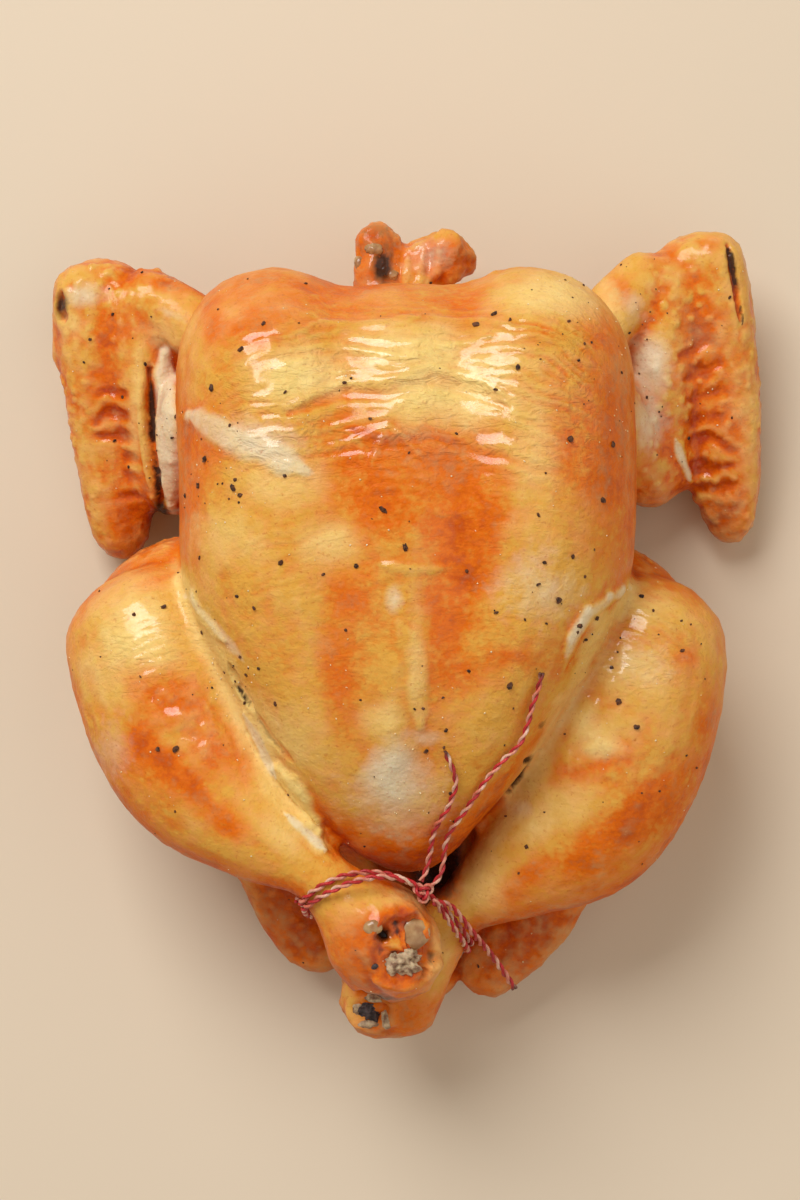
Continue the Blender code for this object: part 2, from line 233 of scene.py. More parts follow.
# Fine arcs over the knees.
for knee_x, knee_y, slope in ((63, -4, 0.5), (-73, -2, -0.35)):
    wave = (y - knee_y) + slope * (x - knee_x) + 0.02 * (x - knee_x) ** 2
    wave += 1.4 * layered(form, 8, 2, seed=21)
    near = 1 - ease(8, 22, np.hypot(x - knee_x, y - knee_y))
    rise += 0.2 * (0.5 + 0.5 * np.cos(2 * math.pi * wave / 2.7)) * near * ease(55, 62, z)

# Folds and tendons that stand proud: width, height, line.
folds = [
    (7.0, 0.7, [(-60, 58, 86), (-52, 53.5, 96), (-45, 50, 100), (-35, 46, 103), (-28, 42, 103)]),
    (6.5, 1.3, [(-70.5, 79, 34), (-70, 66, 36), (-70, 52, 36), (-69.5, 36, 30)]),
    (2.2, 0.7, [(-77.5, 74, 34), (-77.3, 60, 32), (-76, 46, 30), (-75, 38, 26)]),
    (2.4, 0.8, [(-5, -79, 80), (1, -78.5, 79), (5, -82, 77), (7, -87, 75)]),
    (2.4, 0.5, [
        (-30, 60, 103), (-17, 66.5, 101), (-6, 66, 101), (6, 70, 99), (19, 66.5, 101), (25, 63, 101),
    ]),
    (2.2, 0.45, [(-32, 74.5, 97), (-18, 76, 97), (-2, 72.5, 99), (11, 76, 98), (22, 78.5, 97)]),
    (2.6, 0.45, [(-24, 83, 94), (-10, 82, 95), (3, 84, 94)]),
    (1.6, 0.45, [(-16, 50, 103), (-11, 52, 103), (-5.5, 54.5, 103), (-1, 51, 103), (2, 47, 103)]),
    (1.6, 0.4, [(-5.5, 54.5, 103), (-8, 49, 103), (-10, 44, 103)]),
    (2.4, 0.55, [(-8, 17.5, 103), (0, 16, 103), (9, 16.5, 102)]),
    (2.0, 0.4, [(2, 33, 103), (9, 31, 103), (17, 32, 102)]),
    (3.4, 0.9, [(70, 14.5, 60), (62, 11.5, 74), (55, 9, 81), (48.5, 5, 88), (44, -2, 90), (41, -12, 84)]),
    (3.4, 0.7, [(-62, 12, 77), (-57, 3, 81), (-50, -3, 84)]),
    (3.4, 1.0, [(-45, -23, 74), (-42, -29, 73), (-39, -35, 72), (-37, -41, 72)]),
    (5.5, 1.9, [(-36, -38, 74), (-31, -45, 72), (-25, -56, 70)]),
    (2.6, 0.8, [(-34, -51, 74), (-29, -55, 74), (-23, -61, 73)]),
    (3.0, 0.6, [(78, 55, 29), (80, 49, 26), (83, 43, 21)]),
    (5.0, 0.5, [(-3, 2, 103), (2, -8, 99), (3, -26, 95)]),
    (2.2, 0.5, [(60, -2, 77), (52, -9, 78), (46, -16, 77)]),
    (4.0, 1.5, [(-9, -96, 74), (-3, -100, 71), (4, -99, 71), (8, -94, 72), (8.5, -88, 74)]),
    (3.2, 1.0, [(-17, -101, 45), (-18, -108, 43), (-14, -115, 42), (-7, -116, 43)]),
    (2.2, 0.9, [(-1, 99, 33), (0, 108, 33)]),
    (2.2, 0.9, [(3.5, 100, 33), (4.5, 110, 33)]),
    (2.2, 0.9, [(8, 101, 33), (9, 111, 33)]),
]  # fmt: skip
for width, height, line in folds:
    rise += height * stroke(form, width, 1.0, line, 0.2 * line_noise)

# Slits and creases that sink in: width, depth, line.
creases = [
    (2.2, 2.6, [(-49, -10, 83), (-46.5, -16, 81), (-43, -22, 81)]),
    (2.0, 1.0, [(-42, -23, 81), (-38, -30, 81), (-32, -36, 82)]),
    (2.6, 2.0, [(39, -15, 72), (35.5, -26, 68), (32, -36, 64), (28, -46, 60)]),
    (1.9, 1.6, [(92.5, 111, 36), (93.6, 105, 36), (95, 98, 35), (96.5, 89, 33)]),
    (3.4, 2.8, [(-74.6, 75, 36), (-74.4, 64.5, 34), (-74, 55, 34), (-73.4, 45.8, 30), (-72.6, 36, 23)]),
    (3.6, 0.7, [
        (-32, 57.5, 103), (-18, 63, 102), (-6, 62.5, 102), (6, 66.5, 100), (19, 63, 101), (26, 59, 101),
    ]),
    (4.5, 3.4, [(5, -87, 76), (6, -91, 75), (4.5, -95, 73)]),
    (4.6, 3.0, [(-7.4, -84, 78), (-6.8, -84, 78), (-6.2, -84, 78)]),
    (5.0, 3.2, [(-16, -101, 50), (-9, -103, 50), (-2, -103.5, 51)]),
    (3.0, 1.5, [(-101, 97, 32), (-101.5, 93, 32), (-100, 89, 31)]),
]  # fmt: skip
for width, depth, line in creases:
    rise -= depth * stroke(form, width, 1.0, line, 0.15 * line_noise)

# The quill ladder on each wing's hand: cross bumps with hollows between, which are painted
# darker as shade.
ladders = [
    ([(-86, 76, 33), (-86.4, 62, 29), (-85.7, 48, 25), (-84.5, 36, 21)], 6.0, 12.0),
    ([(81, 84, 34), (86, 73, 30), (88.5, 58, 26), (88.5, 46, 22), (91, 34, 18)], 7.2, 14.0),
]


def rungs_of(points, line, spacing, width):
    """How far each point lies on the ladder, and how high its rung is there, from -1 to 1."""
    far, along = near_line(points, line)
    uneven = layered(points, 7, 2, seed=31)
    across = 1 - ease(0.28 * width, 0.6 * width, far + 1.5 * uneven)
    ends = ease(0, 4, along)
    height = np.cos(2 * math.pi * (along + 2.4 * uneven) / spacing)
    return across * ends * ease(-0.7, 0.3, mottle(points, 8, 33)), height


for line, spacing, width in ladders:
    across, height = rungs_of(form, line, spacing, width)
    rise += 0.55 * height * across


def dots(points, size, seed):
    """Each point's distance to the nearest of many scattered follicles, in units of their spacing."""
    spot = points / size
    cell = np.floor(spot).astype(np.int64)
    best = np.full(len(points), 9.0)
    for corner in np.ndindex(3, 3, 3):
        at = cell + np.array(corner) - 1
        mixed = at[:, 0] * 73856093 ^ at[:, 1] * 19349663 ^ at[:, 2] * 83492791 ^ seed * 2654435
        far = np.zeros(len(points))
        for axis in range(3):
            mixed = ((mixed ^ (mixed >> 13)) * 1274126177 + axis) & 0xFFFFFFFF
            far += (at[:, axis] + (mixed & 0xFFFF) / 65536 - spot[:, axis]) ** 2
        best = np.minimum(best, far)
    return np.sqrt(best)


# Raised follicles, closest and highest on the wings and flanks.
for spacing, height, seed in ((4.2, 0.9, 41), (2.9, 0.4, 42)):
    follicle = 1 - ease(0.1, 0.42, dots(form, spacing, seed))
    strength = 0.14 + 0.5 * np.maximum(on_wing, 0.4 * on_tail)
    strength += 0.18 * (1 - ease(30, 70, z)) * (1 - on_wing)
    rise += height * strength * follicle * ease(-0.4, 0.4, mottle(form, 12, seed))

# The ends of the drumsticks are open: the skin has drawn back from the bone in a ragged cuff.
# Each cuff: centre, half widths, depth.
cuffs = [((-2.0, -87.5, 77), (8.6, 11.0, 9.0), 2.8), ((-10.4, -109.6, 46), (6.2, 5.2, 8.0), 2.0)]
for centre, halves, depth in cuffs:
    far = np.linalg.norm((form - centre) / halves, axis=1) + 0.16 * layered(form, 4, 2, seed=51)
    rise -= depth * (1 - ease(0.5, 1.0, far))
    rise += 0.9 * ease(0.75, 1.0, far) * (1 - ease(1.0, 1.35, far))
    rise += 1.1 * layered(form, 3.2, 3, seed=52) * (1 - ease(0.85, 1.1, far))

form = form + out * rise[:, None]
form[:, 2] = np.maximum(form[:, 2], 0.02)
move_points(skin.data, form)
thin = skin.modifiers.new("thin", "DECIMATE")
thin.ratio = min(1.0, skin_triangles / (2 * len(skin.data.polygons)))
skin.data = settled(skin)
skin.data.polygons.foreach_set("use_smooth", [True] * len(skin.data.polygons))

# ---- Where the skin is browned, fat, bare or charred, and where shade and highlights are painted ----
# Each value is spread over the skin in soft ragged patches. The roast is deepest on what
# stood nearest the heat, and palest where fat lies under the skin or skin covers skin. Painted
# shade darkens the sides, gaps and hollows, and painted highlights pale the bumps, knees and upper breast.
form = points_of(skin.data)
out = normals_of(skin.data)
x, y, z = form.T
patch_noise = 0.42 * layered(form, 10, 4, seed=5)
line_noise = 0.35 * layered(form, 5, 2, seed=9)
on_wing, on_tail = on_wing_and_tail(form)
rough_skin = np.maximum(on_wing, on_tail)
# Painted shade: skin turned away from straight above is browned more, partly real browning on the sides and
# partly painted shade with warm bounce light.
turned_away_browning_and_shade = ease(0.12, 0.85, 1 - out[:, 2]) * ease(-0.6, 0.0, out[:, 2])

# How far each point lies below the skin round it, in millimetres.
edges = edges_of(skin.data)
flat = form
for _ in range(14):
    flat = 0.4 * flat + 0.6 * middle_of_neighbours(flat, edges)
hollow = np.sum((flat - form) * out, axis=1)


def spread(name, patches, lines=(), ground=None, kept=1.0):
    """Stores on the skin how strongly each point shows something, from 0 to 1."""
    value = np.zeros(len(form)) if ground is None else ground
    for row in patches:
        value = 1 - (1 - value) * (1 - np.clip(patch(form, *row, patch_noise), 0, 1))
    for width, strength, line in lines:
        value = 1 - (1 - value) * (1 - np.clip(stroke(form, width, strength, line, line_noise), 0, 1))
    layer = skin.data.attributes.new(name, "FLOAT", "POINT")
    layer.data.foreach_set("value", (np.clip(value, 0, 1) * kept).astype(np.float32))


cleft_left = [(-66, 18, 66), (-58, 2, 72), (-47, -20, 72), (-37, -40, 70), (-25, -60, 68)]
cleft_right = [(68, 16, 60), (52, 2, 74), (43, -20, 68), (34, -42, 62), (24, -60, 58)]
in_cleft = stroke(form, 15, 1.0, cleft_left, line_noise)
in_cleft = np.maximum(in_cleft, stroke(form, 11, 1.0, cleft_right, line_noise))
turned_away_browning_and_shade *= (1 - 0.85 * in_cleft) * (1 - 0.6 * ease(76, 90, y) * ease(-45, 10, x))
in_left_cuff = 1 - ease(0.75, 1.15, np.linalg.norm((form - (-2, -87, 77)) / (9.2, 12, 9), axis=1))
in_vent = (1 - ease(69, 74, z)) * ease(-80, -74, y) * (1 - ease(-62, -56, y))
in_vent *= 1 - ease(10, 15, np.abs(x - 2))

# Browned where the heat was strongest, and darker still where the ground below adds painted
# shade. Each patch: x, y, z, half width, half length, turn in degrees, strength. Each line:
# width, strength, line.
browned_and_painted_shade = [
    (-45, 93, 82, 15.8, 5.5, 8, 0.6),
    (-15, 95, 69, 23.6, 3.6, 0, 0.5),
    (-53, 84, 85, 4.3, 5.4, 0, 0.7),
    (-43, 80, 96, 11.2, 6.4, 0, 0.35),
    (55, 64, 86, 9, 24, 6, 0.6),
    (53, 40, 91, 10, 20, 0, 0.6),
    (41, 52, 98, 7, 16, 0, 0.4),
    (7, 39, 102, 21.2, 12.7, 0, 0.45),
    (-11, 43, 102, 8.5, 9.0, 0, 0.45),
    (11, 46, 101, 11.2, 6.4, -20, 0.6),
    (-7, 31, 103, 9.5, 8.5, 0, 0.55),
    (18, 31, 102, 9.6, 15.9, 0, 0.55),
    (-59, 48, 88, 9.2, 7.6, 0, 0.55),
    (-62, 31, 83, 5.4, 12.3, 0, 0.5),
    (14, 19, 101, 6.9, 9.6, 0, 0.55),
    (10, 7, 101, 8.0, 6.9, 0, 0.5),
    (-19, -9, 97, 4.5, 22.7, 0, 0.5),
    (-14, 11, 101, 7.4, 6.4, 0, 0.45),
    (27, -7, 98, 8.5, 2.7, -8, 0.55),
    (14, -9, 97, 10.7, 8.0, 0, 0.3),
    (-33, -35, 81, 2.2, 1.9, 0, 0.6),
    (-1, -59, 73, 8.3, 5.0, 0, 0.5),
    (12, -56, 71, 6.1, 5.0, 0, 0.45),
    (-64, -20, 75, 15, 8, -25, 0.7),
    (-64, -21, 76, 2.5, 2.5, 0, 0.6),
    (-69, -34, 74, 12, 5, -38, 0.85),
    (-53, -33, 76, 13, 9, -35, 0.65),
    (-51, -52, 77, 13, 5, -38, 0.75),
    (-15, -88, 72, 8, 12, 0, 0.7),
    (40, -90, 24, 16, 10, 35, 0.6),
    (-72, 13, 64, 4.2, 2.0, 20, 0.6),
    (55, -36, 71, 13.3, 5.5, 20, 0.45),
    (42, -26, 67, 3.9, 8.9, -15, 0.5),
    (84, -26, 60, 3.9, 12.9, 0, 0.55),
    (77, -8, 68, 4.4, 3.3, 0, 0.55),
    (57, -59, 66, 19, 7, 35, 0.75),
    (29, -73, 59, 10.7, 4.2, 38, 0.35),
    (-85, 86, 36, 5.8, 7.5, 0, 0.55),
    (-80, 104, 34, 4.5, 4.0, 0, 0.85),
    (-70, 99, 39, 6.9, 2.8, -22, 0.85),
    (-88, 61, 29, 7.6, 21.9, -8, 0.35),
    (-83, 32, 19, 7.7, 10.0, -12, 0.8),
    (73, 108, 36, 7.1, 4.1, 30, 0.6),
    (88, 111, 36, 3.5, 2.9, 0, 0.6),
    (60, 96, 43, 4.0, 4.6, 0, 0.7),
    (92, 62, 28, 8.8, 27.7, 8, 0.5),
    (85, 81, 32, 7.3, 13.1, 0, 0.35),
    (94, 30, 16, 7.7, 8.9, 0, 0.8),
    (-36, -88, 22, 14, 18, -35, 0.75),
    (39, -95, 23, 14, 14, 35, 0.8),
    (-9, 112, 34, 8.5, 8.0, 0, 1.0),
    (-9, 101, 34, 7.0, 5.0, 0, 0.9),
    (18, 108, 33, 7.0, 7.0, 0, 0.9),
    (23, 100, 28, 4.0, 6.0, 0, 0.85),
    (-6, -80, 79, 7.0, 3.5, 0, 0.75),
    (5.5, -90, 76, 4.0, 6.5, 0, 0.95),
    (0, -96.5, 73, 9.0, 3.0, 0, 0.8),
    (-9.5, -90, 77, 2.6, 5.5, 0, 0.8),
    (-14, -84, 78, 3.5, 5.0, 0, 0.35),
    (-8, -103, 50, 8.0, 2.5, 0, 1.0),
    (-8, -116, 43, 9.0, 2.2, 0, 0.9),
    (0, -110, 45, 14, 10, 0, 0.75),
    (-23, -98, 21, 4.1, 11.8, 0, 0.35),
    (-8, 88, 88, 26, 6, 0, 0.25),
    (-40, 84, 92, 12, 8, 0, 0.5),
    (-70, -40, 70, 16, 9, -35, 0.5),
    (72, -45, 60, 18, 8, 40, 0.65),
    (7, 107, 33, 8, 5, 0, 0.7),
    (34, -69, 58, 12, 3, 40, 0.4),
]
browned_and_painted_shade_lines = [
    (5.0, 0.6, [(-78, -27, 70), (-70, -34, 74), (-62, -41, 76), (-54, -49, 76)]),
    (3.0, 0.7, [(-16, 54, 102), (-6, 50, 102), (4, 53, 102), (14, 50, 102)]),
]
# The ground: browning that varies at random, the wings, and painted shade on the sides turned away from
# above.
ground = 0.24 + 0.14 * layered(form, 24, 3, seed=61) + 0.14 * on_wing + 0.5 * turned_away_browning_and_shade
ground += on_tail * (0.55 + 0.2 * ease(0, 30, x))
# Painted shade: browner in the hollows between the ladder's rungs.
for line, spacing, width in ladders:
    across, height = rungs_of(form, line, spacing, width)
    ground += 0.38 * across * (1 - ease(-0.8, 0.2, height))
# Painted shade and painted light: browner where the skin lies below the skin round it, less brown where it
# stands above.
ground += (0.3 + 0.2 * rough_skin) * np.clip(hollow / 0.4, -0.7, 1)
# Painted shade: browner low down on the faces turned towards the tail.
ground += 0.35 * ease(0.2, 0.8, -out[:, 1]) * (1 - ease(72, 88, z))
# The left cuff is browned; the vent low between the legs is browned as painted shade; the clefts are paler.
ground += in_left_cuff * (0.75 + 0.6 * layered(form, 4, 3, seed=62)) + 0.9 * in_vent - 0.15 * in_cleft
spread("browned_and_painted_shade", browned_and_painted_shade, browned_and_painted_shade_lines, ground=np.clip(ground, 0, 1))

# Pale yellow where fat lies close under the skin, and pale as painted highlight over the upper
# breast and the knees.
fatty_and_painted_highlight = [
    # Painted highlight: the pale glinting arcs over the upper breast.
    (2, 74, 97, 27, 9, 0, 0.9),
    (-27, 67, 100, 15, 8, 0, 0.95),
    (8, 62, 99, 19, 8, 0, 0.95),
    (33, 47, 102, 7.0, 17.3, 0, 0.5),
    (-20, 24, 100, 8, 7, 0, 0.7),
    (-84, -12, 68, 9, 10, 0, 0.5),
    (-32, 39, 103, 11.1, 8.0, 0, 0.6),
    (-48, 26, 98, 11.2, 6.9, 0, 0.5),
    (38, 92, 82, 16, 10, -10, 0.8),
    (-61, 81, 76, 3.0, 12.1, -8, 0.5),
    (59, 90, 45, 3.4, 12.6, 14, 0.6),
    (-32, -31, 86, 11.4, 11.9, 0, 0.5),
    (-7, -24, 95, 6.4, 5.4, 0, 0.6),
    (2, -9, 99, 2.4, 17.3, 0, 0.5),
    # Painted highlight: the glints on the left knee.
    (-74, -3, 73, 12, 9, -15, 0.9),
    (53, -31, 72, 7, 5, 20, 0.6),
    # Painted highlight: the glints on the right knee.
    (60, -10, 72, 12, 9, 0, 0.6),
    (-34, -57, 76, 8.2, 4.7, -30, 0.5),
    (-80, 8, 67, 11.1, 11.1, 0, 0.3),
    (48, -25, 70, 4.2, 4.7, 0, 0.8),
    (52, -33, 71, 4.1, 2.5, 0, 0.7),
    (42, -50, 67, 12.8, 5.0, 30, 0.5),
    (35, -55, 63, 7.3, 5.0, 40, 0.6),
    (20, -69, 54, 5.7, 10.2, -38, 0.6),
    (20, -77, 50, 6, 6, 0, 0.5),
    (67, 5, 67, 11.1, 5.0, -10, 0.5),
    (-96, 88, 35, 4.1, 3.5, 0, 0.4),
    (-72, 85, 37, 7.5, 4.3, 0, 0.6),
    (-79, 64, 34, 1.7, 18.0, -4, 0.5),
    (79, 105, 35, 6.9, 5.2, 0, 0.2),
    (-16, -78, 78, 6.0, 7.1, 0, 0.25),
    (0, -75, 71, 7.2, 3.9, 0, 0.4),
    (9, -92, 64, 4.5, 11.2, 0, 0.5),
]
fatty_and_painted_highlight_lines = [
    (4.4, 0.8, [(-34, -40, 74), (-31, -45, 72), (-25, -56, 70)]),
    (9.0, 0.75, cleft_left),
    (7.0, 0.6, cleft_right),
]
ground = 0.1 + 0.2 * layered(form, 18, 3, seed=71)
# Painted light: paler yellow where the skin stands above the skin round it.
ground += (0.12 + 0.1 * rough_skin) * np.clip(-hollow / 0.35, 0, 1)
spread("fatty_and_painted_highlight", fatty_and_painted_highlight, fatty_and_painted_highlight_lines, ground=np.clip(ground, 0, 1), kept=1 - in_left_cuff)

# Cream where the skin is stretched thin over gristle, or has split and lets the meat show, and
# partly painted highlight in the shiny band across the left breast.
bare_and_painted_highlight = [
    (-40, 51, 103, 12, 5.5, -12, 0.6),
    (-34, 43, 103, 2.1, 2.9, 0, 0.7),
    (-4, 8, 102, 2.4, 4.0, 0, 0.7),
    (-4, -38, 89, 7.0, 10.3, 0, 0.9),
    (4, -29, 92, 5.9, 2.2, 0, 0.5),
    (-2, -46, 84, 14.1, 14.1, 0, 0.4),
    (35, 11, 100, 12.3, 10.7, 0, 0.45),
    (-82, -33, 68, 6.7, 11.7, -20, 0.35),
    (65, -9, 71, 10.5, 7.2, 0, 0.25),
    (32, -51, 61, 3.6, 3.1, 0, 0.4),
    (-93, 96, 36, 6.9, 3.8, 0, 0.8),
    (70, 75, 35, 5.5, 11, 0, 1.0),
    (70, 60, 35, 6, 9, 0, 0.7),
    (5, 108, 32, 8, 6, 0, 0.4),
    (-68, 90, 42, 5.7, 1.4, -25, 0.5),
    (65, 92, 41, 3.7, 5.7, 0, 0.5),
]
bare_and_painted_highlight_lines = [
    # Partly painted highlight: the shiny cream band across the left breast.
    (6.0, 0.6, [(-60, 58.5, 86), (-52, 54, 96), (-45, 50.5, 100), (-35, 46.5, 103), (-27, 42, 103)]),
    (3.0, 0.5, [(-62.8, 15, 77), (-60, 7.5, 79), (-52.5, 0, 86), (-44.5, -8, 90)]),
    (2.8, 0.85, [(70, 14.5, 60), (62, 11.5, 74), (55, 9, 81), (48.5, 5, 88), (44, -2, 90), (41, -12, 84)]),
    (1.9, 0.7, [(-64.5, 12, 69), (-62, 9, 74), (-57.6, 3.4, 81)]),
    (2.5, 0.8, [(-45.4, -23.4, 74), (-42, -29, 73), (-39.4, -35.4, 72), (-37, -41, 72)]),
    (2.2, 0.8, [(-34, -50.7, 74), (-29, -55.4, 74), (-23, -61, 73)]),
    (7.0, 0.85, [(-70.5, 80, 34), (-70, 66, 36), (-69.6, 52, 36), (-69.2, 34, 28)]),
    (2.3, 0.9, [(77.8, 55, 29), (80, 49, 26), (83, 43.4, 21)]),
]
spread("bare_and_painted_highlight", bare_and_painted_highlight, bare_and_painted_highlight_lines)

# Black on the cut ends, and black as painted shade in slits, gaps and hollows and where the
# cavity opens beside the knot.
charred_and_painted_shade = [
    (-101, 94, 33, 2.6, 4.1, 0, 0.95),
    # Painted shade: the opening of the cavity beside the knot.
    (9, -70, 34, 8, 10, -30, 1),
    (-6.8, -84, 78, 2.2, 2.2, 0, 1),
    (6, -90, 75, 1.6, 4.0, 0, 0.7),
    (-9, -102.5, 50, 7.0, 1.6, 0, 0.8),
    (-7.5, 105, 36, 3.0, 5.0, 0, 0.9),
    (-9, 114, 32, 9, 5, 0, 0.25),
    (22, 107, 32, 4, 4, 0, 0.35),
    (-73, 33, 20, 2.7, 4.7, 0, 0.9),
]
charred_and_painted_shade_lines = [
    # Painted shade: the dark gap between the breast and the right leg.
    (3.4, 0.8, [(39.5, -14, 72), (36, -26, 68), (32.5, -36, 64), (28, -46, 60)]),
    (1.8, 1, [(-49, -10.5, 83), (-46.6, -16, 81), (-43, -21.8, 81)]),
    (1.4, 0.4, [(-42, -23, 81), (-38, -29.7, 81), (-32.4, -35.6, 82)]),
    # Painted shade: the dark gap between the left wing's bone strip and the body.
    (2.4, 1.0, [(-74.8, 74, 36), (-74.4, 64.5, 34), (-74, 55, 34), (-73.4, 45.8, 30), (-72.6, 35, 23)]),
    (1.5, 1.0, [(92.5, 111, 36), (93.6, 105, 36), (95, 98, 35)]),
    (3.2, 0.4, [(92.2, 110, 36), (94.2, 103, 36), (95.6, 96, 35)]),
    (1.2, 0.8, [(96.2, 94, 34), (97, 88, 33)]),
    (1.3, 0.12, [(-34, 42.5, 103), (-33, 34.5, 103), (-32, 24, 103)]),
    (0.8, 0.2, [(-29, 47.3, 102), (-22.3, 49.5, 101), (-15.7, 52.7, 101), (-9.8, 54.3, 101)]),
]
# Painted shade: black in the hollows of the left cuff.
spread("charred_and_painted_shade", charred_and_painted_shade, charred_and_painted_shade_lines, ground=0.7 * in_left_cuff * np.clip(hollow / 0.5, 0, 1))

# Finely wrinkled over the upper breast and the knees, and wet with fat there and on the wings.
upper_breast = (0.2 * ease(-34, 0, y) + 0.8 * ease(34, 52, y)) * (1 - ease(80, 96, y))
creased = upper_breast * ease(70, 86, z) * (1 - ease(42, 60, np.abs(x)))
for knee_x, knee_y in ((63, -4), (-73, -2)):
    near = 1 - ease(8, 24, np.hypot(x - knee_x, y - knee_y))
    creased = np.maximum(creased, 0.7 * near * ease(55, 62, z))
spread("wrinkled", [], ground=0.08 + 0.92 * creased)
wet = [
    (-58, -26, 76, 20, 15, -35, 1.0),
    (56, -26, 70, 20, 18, 0, 0.9),
    (-4, -86, 76, 16, 14, 0, 0.9),
    (4, 20, 102, 32, 18, 0, 0.8),
    (-4, -30, 92, 22, 26, 0, 0.6),
    (0, 106, 34, 16, 10, 0, 0.8),
]
wet_lines = [(9, 0.9, [(-60, 58, 86), (-45, 50, 100), (-28, 42, 103)])]
spread("wet", wet, wet_lines, ground=0.14 + 0.8 * creased + 0.45 * on_wing)

# ---- Roasted skin ----
# Skin basted with fat and roasted: golden where it is thin on fat, orange and then red-brown
# where it browned. Light goes a little way into it, and the fat on it makes it wet and glossy.
# The masks also carry painted shade, which darkens it, and painted highlights, which pale it.
GOLDEN, ORANGE, RED_BROWN, SCORCHED = "DFA444", "DE6C0E", "B43C08", "6E1C0A"
PALE_FAT_AND_HIGHLIGHT, CREAM_AND_HIGHLIGHT, CHAR_AND_SHADE = "F6DC8C", "E8DCBC", "2A1710"


def colour(text):
    """An sRGB hex colour as linear light."""
    channels = [int(text[k : k + 2], 16) / 255 for k in (0, 2, 4)]
    return [((c + 0.055) / 1.055) ** 2.4 if c > 0.04045 else c / 12.92 for c in channels] + [1.0]


def finish_of(name):
    """A new material with its nodes and its shader."""
    material = bpy.data.materials.new(name)
    material.use_nodes = True
    return material, material.node_tree, material.node_tree.nodes["Principled BSDF"]


def add(tree, kind, settings=None, inputs=None):
    """Adds a node with its own settings, and with values or links for its inputs, by name or number."""
    node = tree.nodes.new(kind)
    for key, value in (settings or {}).items():
        setattr(node, key, value)
    for key, value in (inputs or {}).items():
        if isinstance(value, bpy.types.NodeSocket):
            tree.links.new(value, node.inputs[key])
        else:
            node.inputs[key].default_value = value
    return node


def plus(tree, first, second):
    return add(tree, "ShaderNodeMath", {"operation": "ADD"}, {0: first, 1: second}).outputs[0]


def times(tree, first, second):
    return add(tree, "ShaderNodeMath", {"operation": "MULTIPLY"}, {0: first, 1: second}).outputs[0]


def ramp(tree, value, low, high, top=1.0, bottom=0.0):
    """Value's stretch from low to high, spread evenly over bottom to top."""
    stretch = {"Value": value, "From Min": low, "From Max": high, "To Min": bottom, "To Max": top}
    return add(tree, "ShaderNodeMapRange", None, stretch).outputs["Result"]


def blend(tree, share, first, second):
    """Two colours mixed by share."""
    return add(tree, "ShaderNodeMix", {"data_type": "RGBA"}, {0: share, 6: first, 7: second}).outputs[2]


def speckle(tree, size_mm, detail=3.0, stretch=(1, 1, 1), warp=0.0):
    """Noise around 0, from about -0.5 to 0.5, with lumps of about the given size."""
    where = add(tree, "ShaderNodeTexCoord").outputs["Object"]
    where = add(tree, "ShaderNodeMapping", None, {"Vector": where, "Scale": stretch}).outputs[0]
    inputs = {"Vector": where, "Scale": 1000 / size_mm, "Detail": detail, "Distortion": warp}
    return plus(tree, add(tree, "ShaderNodeTexNoise", None, inputs).outputs["Fac"], -0.5)


def level(tree, name):
    """How strongly the skin shows something there."""
    return add(tree, "ShaderNodeAttribute", {"attribute_name": name}).outputs["Fac"]


roast, tree, shader = finish_of("roasted_skin")
broken = times(tree, plus(tree, speckle(tree, 8, 4), speckle(tree, 2.2, 4)), 0.95)
# The browned mask carries painted shade too, which takes the skin towards red-brown and scorched.
brown_and_shade = plus(tree, level(tree, "browned_and_painted_shade"), broken)
tone = blend(tree, ramp(tree, brown_and_shade, 0.02, 0.62), colour(GOLDEN), colour(ORANGE))
tone = blend(tree, ramp(tree, brown_and_shade, 0.66, 1.12), tone, colour(RED_BROWN))
tone = blend(tree, ramp(tree, brown_and_shade, 1.25, 1.75), tone, colour(SCORCHED))
# Pale yellow for fat under the skin and for painted highlights.
fat_and_highlight = plus(tree, level(tree, "fatty_and_painted_highlight"), times(tree, broken, 0.65))
tone = blend(tree, ramp(tree, fat_and_highlight, 0.1, 1.0, 0.85), tone, colour(PALE_FAT_AND_HIGHLIGHT))
# Cream for bare skin and for painted highlight.
bare_and_highlight = plus(tree, level(tree, "bare_and_painted_highlight"), times(tree, broken, 0.42))
tone = blend(tree, ramp(tree, bare_and_highlight, 0.12, 1.0, 0.9), tone, colour(CREAM_AND_HIGHLIGHT))
# Black where the skin is charred and where shade is painted.
char_and_shade = plus(tree, level(tree, "charred_and_painted_shade"), times(tree, broken, 0.5))
tone = blend(tree, ramp(tree, char_and_shade, 0.2, 0.75, 0.95), tone, colour(CHAR_AND_SHADE))
pores = ramp(tree, speckle(tree, 1.0, 2), 0.1, 0.26, 0.4)
tone = blend(tree, pores, tone, colour("B9551A"))
tree.links.new(tone, shader.inputs["Base Color"])
shader.inputs["IOR"].default_value = 1.45
shader.inputs["Specular IOR Level"].default_value = 0.08
shader.inputs["Subsurface Weight"].default_value = 0.06
shader.inputs["Subsurface Radius"].default_value = (1.0, 0.5, 0.2)
shader.inputs["Subsurface Scale"].default_value = 0.003
tree.links.new(ramp(tree, speckle(tree, 5, 3), -0.2, 0.2, 0.55, 0.35), shader.inputs["Roughness"])
fat_film = times(tree, ramp(tree, speckle(tree, 7, 3), -0.14, 0.06, 1.0, 0.4), level(tree, "wet"))
tree.links.new(fat_film, shader.inputs["Coat Weight"])
shader.inputs["Coat Roughness"].default_value = 0.13
strands = speckle(tree, 3.0, 3, (0.42, 1.0, 0.8), 2.2)
strands = times(tree, strands, times(tree, level(tree, "wrinkled"), 2.4))
grain = plus(tree, times(tree, speckle(tree, 1.2, 3), 0.6), speckle(tree, 3.2, 3))
height = plus(tree, grain, strands)
